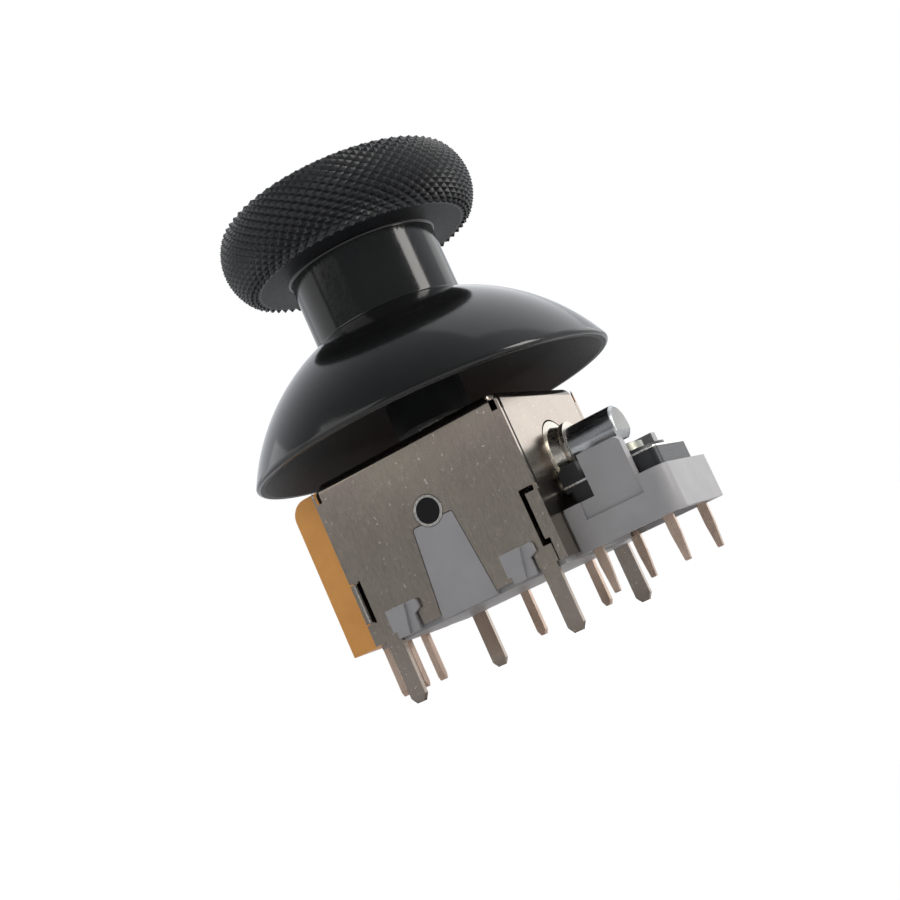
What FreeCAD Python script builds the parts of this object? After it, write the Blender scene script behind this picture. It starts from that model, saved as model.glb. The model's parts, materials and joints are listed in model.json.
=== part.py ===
import FreeCAD, Part
import Sketcher
import math
import os
import re

from FreeCAD import Placement, Rotation, Vector

# Dual-axis thumb stick that solders to a circuit board, in millimetres.
# +Z runs up the lever at rest, -Y is the side with the visible pivot, +X is the switch side.
# The origin is the middle of the flat underside that rests on the board, under the lever.

doc = FreeCAD.newDocument("thumb_stick")

SIZES = {
    # pivot shared by both tilt axes
    "pivot_z": 6.1,
    "run_gap": 0.04,
    "free_gap": 0.05,
    "arch_gap": 0.07,
    # folded can
    "can_half_x": 6.75,
    "can_half_y": 5.95,
    "can_bottom": 0.3,
    "can_top": 10.5,
    "sheet": 0.35,
    "bend_radius": 0.55,
    "top_opening_radius": 5.0,
    "keyhole_radius": 1.0,
    "side_slot_radius": 2.3,
    "side_slot_bottom": 3.5,
    "corner_relief_radius": 0.4,
    "right_slit": 1.12,
    "left_slit": 0.74,
    "slit_wide": 0.3,
    "slit_end": 0.33,
    "slit_bottom": 1.35,
    "slit_top": 4.75,
    "left_slit_drop": 0.5,
    # solder lugs of the can
    "lug_inset": 1.8,
    "lug_inner": "can_half_x - lug_inset",
    "lug_width": 1.02,
    "lug_length": 3.7,
    "lug_point": 0.4,
    # moulded base
    "floor_top": 1.1,
    "upright_foot_half": 1.93,
    "upright_half": 1.4,
    "upright_top": 5.5,
    "upright_depth": 1.1,
    "hook_lap": 0.25,
    "hook_length": 2.1,
    "hook_fold": 1.35,
    "hook_left_shift": 0.2,
    "hook_outer": "lug_inner + hook_lap",
    "hook_inner": "hook_outer - hook_length",
    "hook_top": 1.9,
    "hook_bottom": 0.12,
    "hook_thick": 0.5,
    "hook_step": 0.2,
    "hook_relief": 0.45,
    "hook_foot_step": 0.22,
    "hook_sight": 0.12,
    "ledge_reach": 0.6,
    "ledge_end": 0.65,
    "ledge_top": 1.05,
    "ledge_bottom": 0.05,
    # switch housing, one piece with the base
    "housing_gap": 0.1,
    "housing_length": 6.45,
    "housing_start": "can_half_x + housing_gap",
    "housing_end": "housing_start + housing_length",
    "housing_front": 4.05,
    "housing_back": 4.25,
    "housing_bottom": 0.12,
    "housing_top": 2.8,
    "housing_corner": 1.0,
    "housing_back_corner": 0.3,
    "housing_recess": 0.33,
    "housing_rim": 0.55,
    "pillar_inset": 2.0,
    "pillar_length": 2.7,
    "pillar_back_length": 2.25,
    "pillar_start": "housing_start + pillar_inset",
    "pillar_end": "pillar_start + pillar_length",
    "pillar_back_end": "pillar_start + pillar_back_length",
    "pillar_top": 5.3,
    "pillar_thick": 0.75,
    "pillar_front": 3.85,
    "pillar_back": 4.05,
    "pillar_bevel": 0.25,
    "foot_inset": 1.05,
    "foot_length": 3.75,
    "foot_start": "housing_start + foot_inset",
    "foot_end": "foot_start + foot_length",
    "foot_bottom": 1.75,
    "window_half": 3.9,
    "window_top": 2.7,
    # push switch
    "switch_stand": 3.25,
    "switch_x": "can_half_x + switch_stand",
    "switch_half": 2.97,
    "switch_bottom": 0.8,
    "switch_top": 3.9,
    "switch_corner": 0.55,
    "cover_half": "switch_half - 0.02",
    "cover_thick": 0.12,
    "guide_radius": 2.55,
    "guide_rise": 0.3,
    "guide_wide": 0.5,
    "guide_gate": 0.5,
    "button_shift": 0.1,
    "button_x": "switch_x - button_shift",
    "button_radius": 1.5,
    "button_top": 5.06,
    "button_head": 1.75,
    "dome_radius": 1.82,
    "dome_rise": 0.6,
    "dome_floor": 2.0,
    "dome_leaf": 0.1,
    "post_length": 1.25,
    "post_width": 0.95,
    "post_rise": 1.13,
    "post_bevel": 0.32,
    "switch_pin_shift": 0.2,
    "switch_pin_x": 2.28,
    "switch_pin_y": 3.25,
    "switch_pin_width": 0.62,
    "switch_pin_tip": 0.36,
    "switch_pin_length": 2.6,
    "switch_pin_thick": 0.3,
    "tab_rise": 0.9,
    "tab_reach": 0.6,
    # rotary potentiometers
    "case_depth": 2.2,
    "case_half": 5.0,
    "case_bottom": 0.3,
    "case_top": 10.3,
    "case_wall": 0.38,
    "case_rim": 0.55,
    "case_round": 1.1,
    "board_thick": 0.3,
    "board_half": 4.3,
    "board_bottom": 1.3,
    "board_top": 9.7,
    "rotor_radius": 3.35,
    "rotor_thick": 0.7,
    "rotor_stand": 1.0,
    "rotor_face": "can_half_x + rotor_stand",
    "hub_radius": 1.6,
    "hub_reach": 0.85,
    "hub_inner": "can_half_x - hub_reach",
    "key_thick": 1.2,
    "key_height": 1.5,
    "key_inset": 0.15,
    "key_centre": "can_half_x - key_inset",
    "wiper_thick": 0.12,
    "wiper_outer": 3.0,
    "wiper_inner": 2.1,
    "pin_pitch": 2.5,
    "pin_width": 0.6,
    "pin_thick": 0.45,
    "pin_length": 3.0,
    "pin_head_top": 2.2,
    # moving arms
    "arch_step": 0.38,
    "arch_thick": 0.9,
    "arch_boss_end": "can_half_y - upright_depth - arch_gap",
    "arch_outer": "arch_boss_end - arch_step",
    "arch_inner": "arch_outer - arch_thick",
    "arch_half_x": 2.2,
    "arch_slot_half": 1.7,
    "arch_slot_cheek": 0.5,
    "arch_slot_y": "arch_inner - arch_slot_cheek",
    "arch_boss_radius": 1.3,
    "yoke_half_x": 3.0,
    "yoke_room": 1.2,
    "yoke_half_y": "arch_inner - yoke_room",
    "yoke_half_z": 1.1,
    "neck_radius": 1.0,
    "journal_length": 0.65,
    "boss_radius": 1.78,
    "boss_end_radius": 1.5,
    "collar_radius": 1.7,
    "collar_stand": 0.7,
    "collar_start": "can_half_x + collar_stand",
    "collar_thick": 0.3,
    "shaft_radius": 1.33,
    "shaft_reach": 4.05,
    "shaft_end": "can_half_x + shaft_reach",
    "shaft_flat": 0.7,
    "shaft_bevel": 0.15,
    "shaft_under": 0.3,
    "journal_radius": 0.77,
    "bush_radius": 0.93,
    # lever and its return
    "lever_radius": 1.5,
    "lever_foot": 2.2,
    "lever_step": 11.0,
    "lever_top": 20.0,
    "lever_top_radius": 1.3,
    "lever_flat": 1.0,
    "cross_pin_radius": 0.6,
    "seat_radius": 2.5,
    "seat_thick": 0.5,
    "seat_stem_radius": 0.9,
    "seat_stem_end": 0.45,
    "spring_radius": 1.75,
    "spring_wire": 0.14,
    "spring_turns": 3.5,
    # thumb cap
    "rim_z": 11.64,
    "skirt_radius": 12.95,
    "skirt_centre": 6.4,
    "skirt_wall": 1.0,
    "skirt_lip": 0.2,
    "stem_radius": 4.8,
    "stem_wall": 1.1,
    "disc_bottom": 22.95,
    "disc_top": 27.35,
    "disc_radius": 8.2,
    "disc_land": 6.85,
    "edge_round": 0.9,
    "dish_radius": 6.3,
    "dish_depth": 0.7,
    "socket_radius": 2.5,
    "socket_bottom": 11.4,
    "core_top": 21.4,
}

sheet = doc.addObject("Spreadsheet::Sheet", "sizes")
for row, (alias, size) in enumerate(SIZES.items(), start=1):
    sheet.set("A%d" % row, alias)
    sheet.set("B%d" % row, "0" if isinstance(size, str) else str(size))
    sheet.setAlias("B%d" % row, alias)
doc.recompute()
for row, size in enumerate(SIZES.values(), start=1):
    if isinstance(size, str):
        sheet.set("B%d" % row, "=" + size)
doc.recompute()

ALIAS = re.compile(r"[a-z_]+[a-z0-9_]*")


def ex(text):
    """Expression over the sheet, written with bare aliases."""
    return ALIAS.sub(lambda m: "sizes." + m.group(0) if m.group(0) in SIZES else m.group(0), text)


def val(text):
    """Present value of an expression over the sheet."""
    return float(sheet.evalExpression(ex(text)))


def bind(item, path, text):
    """Ties one property to the sheet."""
    item.setExpression(path, ex(text))


# Primitives and booleans bound to the sheet


def box(x0, x1, y0, y1, z0, z1):
    """Block between six limits."""
    block = doc.addObject("Part::Box", "Block")
    for side, axis, low, high in (("Length", "x", x0, x1), ("Width", "y", y0, y1), ("Height", "z", z0, z1)):
        bind(block, side, "(%s) - (%s)" % (high, low))
        bind(block, "Placement.Base." + axis, low)
    return block


AXIS_TURN = {
    "x": Rotation(Vector(0, 1, 0), 90),
    "y": Rotation(Vector(1, 0, 0), -90),
    "z": Rotation(),
}


def rod(axis, start, end, radius, first="0", second="0"):
    """Cylinder along an axis, placed by its coordinates on the other two axes in order."""
    post = doc.addObject("Part::Cylinder", "Rod")
    post.Placement = Placement(Vector(), AXIS_TURN[axis])
    bind(post, "Radius", radius)
    bind(post, "Height", "(%s) - (%s)" % (end, start))
    others = [name for name in "xyz" if name != axis]
    bind(post, "Placement.Base." + axis, start)
    bind(post, "Placement.Base." + others[0], first)
    bind(post, "Placement.Base." + others[1], second)
    return post


def ball(radius, z):
    """Sphere on the lever axis."""
    orb = doc.addObject("Part::Sphere", "Orb")
    bind(orb, "Radius", radius)
    bind(orb, "Placement.Base.z", z)
    return orb


def fuse(*pieces):
    """Union of several pieces."""
    union = doc.addObject("Part::MultiFuse", "Union")
    union.Shapes = list(pieces)
    union.Refine = True
    return union


def cut(base, *tools):
    """Base less every tool."""
    rest = doc.addObject("Part::Cut", "Rest")
    rest.Base = base
    rest.Tool = tools[0] if len(tools) == 1 else fuse(*tools)
    rest.Refine = True
    return rest


def common(*pieces):
    """Shared part of several pieces."""
    share = doc.addObject("Part::MultiCommon", "Share")
    share.Shapes = list(pieces)
    share.Refine = True
    return share


# Sketches, pads and revolutions bound to the sheet


def bow(start, end, radius):
    """Shorter arc between two points, bulging left of the way for a positive radius."""
    chord = end - start
    half = chord.Length / 2
    left = Vector(-chord.y, chord.x, 0).normalize()
    rise = abs(radius) - math.sqrt(max(radius * radius - half * half, 0))
    middle = (start + end) / 2 + left * math.copysign(rise, radius)
    return Part.Arc(start, middle, end)


def pin_down(sketch, line, end, across, up):
    """Holds one curve end at two distances from the sketch origin."""
    for kind, axis, text in (("DistanceX", -2, across), ("DistanceY", -1, up)):
        if text == "0":
            sketch.addConstraint(Sketcher.Constraint("PointOnObject", line, end, axis))
            continue
        place = sketch.addConstraint(Sketcher.Constraint(kind, -1, 1, line, end, val(text)))
        bind(sketch, "Constraints[%d]" % place, text)


def outline(body, plane, points, offset="0"):
    """Closed sketch of (across, up) corners; a third value is the radius of the arc to the next."""
    doc.recompute()
    sketch = body.newObject("Sketcher::SketchObject", "Outline")
    faces = [item for item in body.Origin.OriginFeatures if item.Role == plane + "_Plane"]
    sketch.AttachmentSupport = [(faces[0], "")]
    sketch.MapMode = "FlatFace"
    bind(sketch, "AttachmentOffset.Base.z", offset)
    places = [Vector(val(point[0]), val(point[1]), 0) for point in points]
    count = len(points)
    for n, point in enumerate(points):
        target = places[(n + 1) % count]
        if len(point) == 2:
            curve = Part.LineSegment(places[n], target)
        else:
            curve = bow(places[n], target, val(point[2]))
        sketch.addGeometry(curve)
    first = [1 if (sketch.getPoint(n, 1) - places[n]).Length < 1e-6 else 2 for n in range(count)]
    for n, point in enumerate(points):
        follow = (n + 1) % count
        sketch.addConstraint(Sketcher.Constraint("Coincident", n, 3 - first[n], follow, first[follow]))
        pin_down(sketch, n, first[n], point[0], point[1])
        if len(point) == 3:
            bend = sketch.addConstraint(Sketcher.Constraint("Radius", n, abs(val(point[2]))))
            bind(sketch, "Constraints[%d]" % bend, "abs(%s)" % point[2])
    return sketch


def pad(body, plane, points, offset, thickness):
    """Adds an outline thickened along the plane's normal."""
    feature = body.newObject("PartDesign::Pad", "Pad")
    feature.Profile = outline(body, plane, points, offset)
    bind(feature, "Length", thickness)
    doc.recompute()
    return feature


def pocket(body, plane, points, offset, depth):
    """Removes an outline from the offset on, along the plane's normal."""
    feature = body.newObject("PartDesign::Pocket", "Pocket")
    feature.Profile = outline(body, plane, points, offset)
    feature.Reversed = True
    bind(feature, "Length", depth)
    doc.recompute()
    return feature


def blend(body, radius, wanted):
    """Rounds each edge of the body that wanted(edge) picks."""
    doc.recompute()
    tip = body.Tip
    picked = ["Edge%d" % n for n, edge in enumerate(tip.Shape.Edges, start=1) if wanted(edge)]
    feature = body.newObject("PartDesign::Fillet", "Round")
    feature.Base = (tip, picked)
    bind(feature, "Radius", radius)
    doc.recompute()
    return feature


def plate(plane, points, offset, thickness):
    """Flat piece of one outline."""
    body = doc.addObject("PartDesign::Body", "Body")
    pad(body, plane, points, offset, thickness)
    return body


def rectangle(x0, x1, y0, y1):
    return [(x0, y0), (x1, y0), (x1, y1), (x0, y1)]


def slab(x0, x1, y0, y1, z0, z1):
    """Block as a sketched body, ready for rounds."""
    return plate("XY", rectangle(x0, x1, y0, y1), z0, "(%s) - (%s)" % (z1, z0))


def turned(points):
    """Solid of revolution about the lever axis from an outline in radius and height."""
    body = doc.addObject("PartDesign::Body", "Body")
    sketch = outline(body, "XZ", points)
    spin = body.newObject("PartDesign::Revolution", "Revolution")
    spin.Profile = sketch
    spin.ReferenceAxis = (sketch, ["V_Axis"])
    spin.Angle = 360
    doc.recompute()
    return body


def double_flat(radius, flat):
    """Circle outline with two flats facing X."""
    rise = "sqrt(%s * %s - %s * %s)" % (radius, radius, flat, flat)
    bend = "-1 * (%s)" % radius
    return [
        (flat, "-1 * " + rise), (flat, rise, bend),
        ("-1 * " + flat, rise), ("-1 * " + flat, "-1 * " + rise, bend)]


def high_edge(place):
    """Test for edges that lie at one height."""
    return lambda edge: (
        abs(edge.BoundBox.ZMin - val(place)) < 1e-4 and abs(edge.BoundBox.ZMax - val(place)) < 1e-4)


def upright_edge(edge):
    """Test for straight edges that run up."""
    return edge.BoundBox.XLength < 1e-4 and edge.BoundBox.YLength < 1e-4


parts = []


def keep(item, label):
    """Names a finished sub-part."""
    item.Label = label
    parts.append(item)
    return item


def over(height, sphere):
    """Radius of the bell at a height, for one of its two spheres."""
    return "sqrt(%s * %s - (%s - skirt_centre) * (%s - skirt_centre))" % (sphere, sphere, height, height)


def crown(radius, sphere):
    """Height of the bell at a radius, for one of its two spheres."""
    return "skirt_centre + sqrt(%s * %s - %s * %s)" % (sphere, sphere, radius, radius)


# Thumb cap, with the hardest surface: disc edge, bell and cored stem in one moulding


def thumb_cap():
    inner = "(skirt_radius - skirt_wall)"
    core = "(stem_radius - stem_wall)"
    reach = "(disc_radius - disc_land)"
    half = "((disc_top - disc_bottom) / 2)"
    side = "((%s * %s + %s * %s - 2 * %s * edge_round) / (2 * (%s - edge_round)))" % (
        reach, reach, half, half, half, reach)
    lean = "(edge_round / (%s - edge_round))" % side
    join_out = "disc_land + %s * (%s - %s)" % (lean, side, reach)
    join_in = "(edge_round - %s * (%s - edge_round))" % (lean, half)
    lip_out = "(%s)" % over("(rim_z + skirt_lip)", "skirt_radius")
    cap = turned([
        (
            "0", "disc_top - dish_depth",
            "-1 * (dish_radius * dish_radius + dish_depth * dish_depth) / (2 * dish_depth)"),
        ("dish_radius", "disc_top"),
        ("disc_land", "disc_top", "edge_round"),
        (join_out, "disc_top - %s" % join_in, side),
        (join_out, "disc_bottom + %s" % join_in, "edge_round"),
        ("disc_land", "disc_bottom"),
        ("stem_radius", "disc_bottom"),
        ("stem_radius", crown("stem_radius", "skirt_radius"), "skirt_radius"),
        (lip_out, "rim_z + skirt_lip", "skirt_lip"),
        (lip_out + " - skirt_lip", "rim_z"),
        (over("rim_z", inner), "rim_z", "-1 * " + inner),
        (core, crown(core, inner)),
        (core, "core_top"),
        ("socket_radius", "core_top"),
        ("socket_radius", "socket_bottom"),
        ("0", "socket_bottom"),
    ])
    keyed = double_flat("(lever_top_radius + 0.5 * free_gap)", "(lever_flat + 0.5 * free_gap)")
    pocket(cap, "XY", keyed, "socket_bottom - 1", "lever_top + free_gap - socket_bottom + 1")
    keep(cap, "thumb_cap")


# Lever: round stem with a keyed top and a ball foot trimmed to slide in the rocking arm


def lever():
    stem = doc.addObject("PartDesign::Body", "Body")
    flats = double_flat("lever_top_radius", "lever_flat")
    pad(stem, "XY", flats, "lever_step - 0.2", "lever_top - lever_step + 0.2")
    shank = rod("z", "pivot_z", "lever_step", "lever_radius")
    foot = common(
        ball("lever_foot", "pivot_z"),
        box(
            "-1 * lever_foot - 1", "lever_foot + 1",
            "-1 * lever_radius + free_gap", "lever_radius - free_gap",
            "pivot_z - lever_foot - 1", "pivot_z + lever_foot + 1"),
    )
    bore = rod("y", "-1 * lever_foot", "lever_foot", "cross_pin_radius + run_gap", "0", "pivot_z")
    keep(cut(fuse(stem, shank, foot), bore), "lever")


def lever_pin():
    pin = rod("y", "-1 * yoke_half_y", "yoke_half_y", "cross_pin_radius", "0", "pivot_z")
    keep(pin, "lever_pin")


# Rocking arm: disc end in the left rotor, yoke round the lever, shaft out over the switch


def arm_x():
    tongue_half = "key_thick / 2"
    end_disc = rod("y", "-1 * " + tongue_half, tongue_half, "key_height / 2", "-1 * key_centre", "pivot_z")
    tongue = box(
        "-1 * key_centre", "-1 * yoke_half_x + 0.2", "-1 * " + tongue_half, tongue_half,
        "pivot_z - key_height / 2 + 0.1", "pivot_z + key_height / 2 - 0.1")
    neck = rod("x", "-1 * hub_inner + 0.3", "-1 * yoke_half_x + 0.2", "neck_radius", "0", "pivot_z")
    yoke = box(
        "-1 * yoke_half_x", "yoke_half_x", "-1 * yoke_half_y", "yoke_half_y",
        "pivot_z - yoke_half_z", "pivot_z + yoke_half_z")
    shaft = rod("x", "yoke_half_x - 0.2", "shaft_end - shaft_bevel", "shaft_radius", "0", "pivot_z")
    tip = doc.addObject("Part::Cone", "Tip")
    tip.Placement = Placement(Vector(), AXIS_TURN["x"])
    bind(tip, "Radius1", "shaft_radius")
    bind(tip, "Radius2", "shaft_radius - shaft_bevel")
    bind(tip, "Height", "shaft_bevel")
    bind(tip, "Placement.Base.x", "shaft_end - shaft_bevel")
    bind(tip, "Placement.Base.z", "pivot_z")
    collar = rod("x", "collar_start", "collar_start + collar_thick", "collar_radius", "0", "pivot_z")
    journal = rod(
        "x", "can_half_x - journal_length", "can_half_x", "side_slot_radius - 2 * free_gap", "0", "pivot_z")
    boss = doc.addObject("Part::Cone", "Boss")
    boss.Placement = Placement(Vector(), AXIS_TURN["x"])
    bind(boss, "Radius1", "boss_radius")
    bind(boss, "Radius2", "boss_end_radius")
    bind(boss, "Height", "collar_stand + 2 * free_gap")
    bind(boss, "Placement.Base.x", "can_half_x - free_gap")
    bind(boss, "Placement.Base.z", "pivot_z")
    window = box(
        "-1 * lever_foot - free_gap", "lever_foot + free_gap",
        "-1 * lever_radius - free_gap", "lever_radius + free_gap",
        "pivot_z - yoke_half_z - 1", "pivot_z + yoke_half_z + 1")
    bore = rod("y", "-1 * yoke_half_y - 1", "yoke_half_y + 1", "cross_pin_radius + run_gap", "0", "pivot_z")
    flat_start = "collar_start + 2 * collar_thick"
    flat = plate("XZ", [
        (flat_start, "pivot_z - collar_radius"),
        ("shaft_end + shaft_under", "pivot_z - collar_radius"),
        ("shaft_end + shaft_under", "pivot_z - shaft_flat + 3 * shaft_under"),
        ("shaft_end - shaft_under", "pivot_z - shaft_flat"),
        (flat_start, "pivot_z - shaft_flat"),
    ], "-1 * collar_radius", "2 * collar_radius")
    body = fuse(end_disc, tongue, neck, yoke, shaft, tip, collar, journal, boss)
    keep(cut(body, window, bore, flat), "arm_x")


# Swinging arch: half ring over the rocking arm, trunnion at the front, key at the back


def arm_y():
    ring = cut(
        rod("x", "-1 * arch_half_x", "arch_half_x", "arch_outer", "0", "pivot_z"),
        rod("x", "-1 * arch_half_x - 1", "arch_half_x + 1", "arch_inner", "0", "pivot_z"),
        box(
            "-1 * arch_half_x - 1", "arch_half_x + 1", "-1 * arch_outer - 1", "arch_outer + 1",
            "pivot_z - arch_outer - 1", "pivot_z"),
        box(
            "-1 * arch_slot_half", "arch_slot_half", "-1 * arch_slot_y", "arch_slot_y",
            "pivot_z", "pivot_z + arch_outer + 1"),
    )
    front_foot = rod("y", "-1 * arch_outer", "-1 * arch_inner", "arch_half_x", "0", "pivot_z")
    back_foot = rod("y", "arch_inner", "arch_outer", "arch_half_x", "0", "pivot_z")
    front_boss = rod("y", "-1 * arch_boss_end", "-1 * arch_outer + 0.1", "arch_boss_radius", "0", "pivot_z")
    back_boss = rod("y", "arch_outer - 0.1", "arch_boss_end", "arch_boss_radius", "0", "pivot_z")
    journal = rod("y", "-1 * can_half_y", "-1 * arch_boss_end + 0.1", "journal_radius", "0", "pivot_z")
    back_end = "(key_centre + key_height / 2 - can_half_x + can_half_y)"
    key = box(
        "-1 * key_thick / 2", "key_thick / 2", "arch_boss_end - 0.1", back_end,
        "pivot_z - key_height / 2", "pivot_z + key_height / 2")
    keep(fuse(ring, front_foot, back_foot, front_boss, back_boss, journal, key), "arm_y")


def pivot_bush():
    sleeve = rod(
        "y", "-1 * can_half_y - 0.02", "-1 * arch_boss_end - free_gap", "bush_radius", "0", "pivot_z")
    bore = rod("y", "-1 * can_half_y - 1", "-1 * arch_boss_end + 1", "journal_radius", "0", "pivot_z")
    keep(cut(sleeve, bore), "pivot_bush")


# Folded can: top and four walls of one sheet, with bend reliefs, lugs and openings


def upright_outline(gap):
    """Front upright of the base, grown by a gap for its opening in the can."""
    foot = "(upright_foot_half + %s)" % gap
    half = "(upright_half + %s)" % gap
    top = "(upright_top + %s)" % gap
    corner = "(hook_step + %s)" % gap
    return [
        (foot, "ledge_bottom"),
        (half, top + " - " + corner, "-1 * " + corner),
        (half + " - " + corner, top),
        ("-1 * (" + half + " - " + corner + ")", top, "-1 * " + corner),
        ("-1 * " + half, top + " - " + corner),
        ("-1 * " + foot, "ledge_bottom"),
    ]


def lug(side, wall):
    """Solder lug below the front or the back wall."""
    inner = "%d * lug_inner" % side
    outer = "%d * (lug_inner + lug_width)" % side
    step = "%d * lug_width / 4" % side
    points = [
        (inner, "can_bottom + 0.2"),
        (outer, "can_bottom + 0.2"),
        (outer, "-1 * lug_length + lug_point"),
        (outer + " - " + step, "-1 * lug_length"),
        (inner + " + " + step, "-1 * lug_length"),
        (inner, "-1 * lug_length + lug_point"),
    ]
    offset = "can_half_y - sheet" if wall < 0 else "-1 * can_half_y"
    return plate("XZ", points, offset, "sheet")


def metal_frame():
    shell = slab("-1 * can_half_x", "can_half_x", "-1 * can_half_y", "can_half_y", "can_bottom", "can_top")
    blend(shell, "bend_radius", high_edge("can_top"))
    hollow = slab(
        "-1 * can_half_x + sheet", "can_half_x - sheet", "-1 * can_half_y + sheet", "can_half_y - sheet",
        "can_bottom - 1", "can_top - sheet")
    blend(hollow, "bend_radius - sheet", high_edge("can_top - sheet"))
    hub_hole = "hub_radius + run_gap"
    openings = [
        hollow,
        rod("z", "can_top - 2", "can_top + 1", "top_opening_radius"),
        rod("x", "-1 * can_half_x - 1", "-1 * can_half_x + 1", hub_hole, "0", "pivot_z"),
        rod("y", "can_half_y - 1", "can_half_y + 1", hub_hole, "0", "pivot_z"),
        rod("y", "-1 * can_half_y - 1", "-1 * can_half_y + 1", "bush_radius + run_gap", "0", "pivot_z"),
        plate("XZ", upright_outline("free_gap"), "can_half_y - 1", "2"),
        rod("x", "can_half_x - 1", "can_half_x + 1", "side_slot_radius", "0", "pivot_z"),
        box(
            "can_half_x - 1", "can_half_x + 1", "-1 * side_slot_radius", "side_slot_radius",
            "side_slot_bottom", "pivot_z"),
        box(
            "can_half_x - 1", "can_half_x + 1", "-1 * window_half - 0.1", "window_half + 0.1",
            "-1", "window_top + 0.1"),
    ]
    front = ("-1 * can_half_y - 1", "-1 * can_half_y + sheet")
    slit = "can_half_x - right_slit"
    openings.append(box(slit, slit + " + slit_wide", *front, "slit_bottom", "slit_top"))
    openings.append(box(slit, "can_half_x + 1", *front, "slit_top - slit_end", "slit_top"))
    openings.append(box(slit, slit + " + 2 * slit_wide", *front, "slit_bottom", "slit_bottom + slit_end"))
    openings.append(box(
        slit + " + 1.7 * slit_wide", slit + " + 2 * slit_wide", *front,
        "can_bottom - 1", "slit_bottom + slit_end"))
    slit = "-1 * can_half_x + left_slit"
    left_low = "slit_bottom + 0.5 * left_slit_drop"
    left_high = "slit_top - left_slit_drop"
    openings.append(box(slit + " - slit_wide", slit, *front, left_low, left_high))
    openings.append(box("-1 * can_half_x - 1", slit, *front, left_low, left_low + " + 0.3 * slit_wide"))
    openings.append(box("-1 * can_half_x - 1", slit, *front, left_high + " - 0.3 * slit_wide", left_high))
    ledge_clear = "(ledge_top + free_gap)"
    reach = "(case_half - ledge_end + free_gap)"
    openings.append(box(
        "-1 * can_half_x - 1", "-1 * can_half_x + sheet", "-1 * " + reach, reach,
        "can_bottom - 1", ledge_clear))
    openings.append(box(
        "-1 * " + reach, reach, "can_half_y - sheet", "can_half_y + 1", "can_bottom - 1", ledge_clear))
    for across in (-1, 1):
        inner = "(%d * can_half_x - %d * sheet)" % (across, across)
        outer = "(%d * (can_half_x + 1))" % across
        low, high = (inner, outer) if across > 0 else (outer, inner)
        openings.append(rod(
            "z", "can_top - 2 * bend_radius", "can_top + 1", "corner_relief_radius",
            "%d * (can_half_x - sheet)" % across, "-1 * (can_half_y - sheet)"))
        openings.append(rod(
            "z", "can_top - 2 * bend_radius", "can_top + 1", "corner_relief_radius",
            "%d * (can_half_x - sheet)" % across, "can_half_y - sheet"))
        seam = "can_half_y - sheet - free_gap"
        openings.append(box(
            low, high, seam, "can_half_y - sheet", "can_bottom - 1", "can_top - bend_radius"))
        seam_start = "slit_top - slit_end" if across > 0 else left_high + " - 0.3 * slit_wide"
        spans = [(seam_start, "can_top - bend_radius")]
        if across < 0:
            spans.append(("can_bottom - 1", left_low + " + 0.3 * slit_wide"))
        for start, end in spans:
            openings.append(box(low, high, "-1 * can_half_y + sheet", "-1 * (" + seam + ")", start, end))
        openings.append(box(*hook_tongue(across, "0.05")))
        edge = hook_span(across)[1] + " - hook_relief"
        openings.append(box(
            edge + " - hook_step", edge + " + hook_sight", *front,
            "can_bottom - 1", "hook_top - 4 * hook_step"))
    folded = cut(shell, *openings)
    lugs = [lug(side, wall) for side in (-1, 1) for wall in (-1, 1)]
    keep(fuse(folded, *lugs), "metal_frame")


# Moulded base: floor, ledges, upright, hooks and the switch housing


def hook_span(side):
    """Both hooks have one shape; the right one is moved over, not mirrored."""
    if side < 0:
        return "(-1 * hook_outer + hook_left_shift)", "(-1 * hook_inner + hook_left_shift)"
    return "hook_inner", "hook_outer"


def hook_tongue(side, gap):
    """Web that joins a hook to the floor below the front wall."""
    low, high = hook_span(side)
    return (
        low + " + hook_step - " + gap, high + " - hook_relief - hook_step + " + gap,
        "-1 * can_half_y - hook_thick / 2", "-1 * can_half_y + 2 * sheet",
        "hook_bottom", "floor_top + " + gap)


def hook(side):
    """Board hook: thick left part with a stepped foot, thinner right part with a round shoulder."""
    low, high = hook_span(side)
    step = low + " + hook_foot_step"
    thick_points = [
        (step, "hook_bottom"),
        (low + " + hook_fold - 2 * hook_step", "hook_bottom"),
        (low + " + hook_fold", "hook_top"),
        (low, "hook_top"),
        (low, "hook_bottom + 2 * hook_foot_step"),
        (step, "hook_bottom + 2 * hook_foot_step"),
    ]
    thick = plate("XZ", thick_points, "can_half_y + free_gap", "hook_thick - free_gap")
    thin_points = [
        (low + " + 2 * hook_foot_step", "hook_bottom"),
        (high + " - hook_relief", "hook_bottom"),
        (high + " - hook_relief", "hook_top - 4 * hook_step"),
        (high, "hook_top - 3 * hook_step"),
        (high, "hook_top - hook_step", "-1 * hook_step"),
        (high + " - hook_step", "hook_top"),
        (low + " + 2 * hook_foot_step", "hook_top"),
    ]
    thin = plate("XZ", thin_points, "can_half_y + free_gap", "hook_thick - hook_step - free_gap")
    return fuse(thick, thin, box(*hook_tongue(side, "0")))


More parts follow.
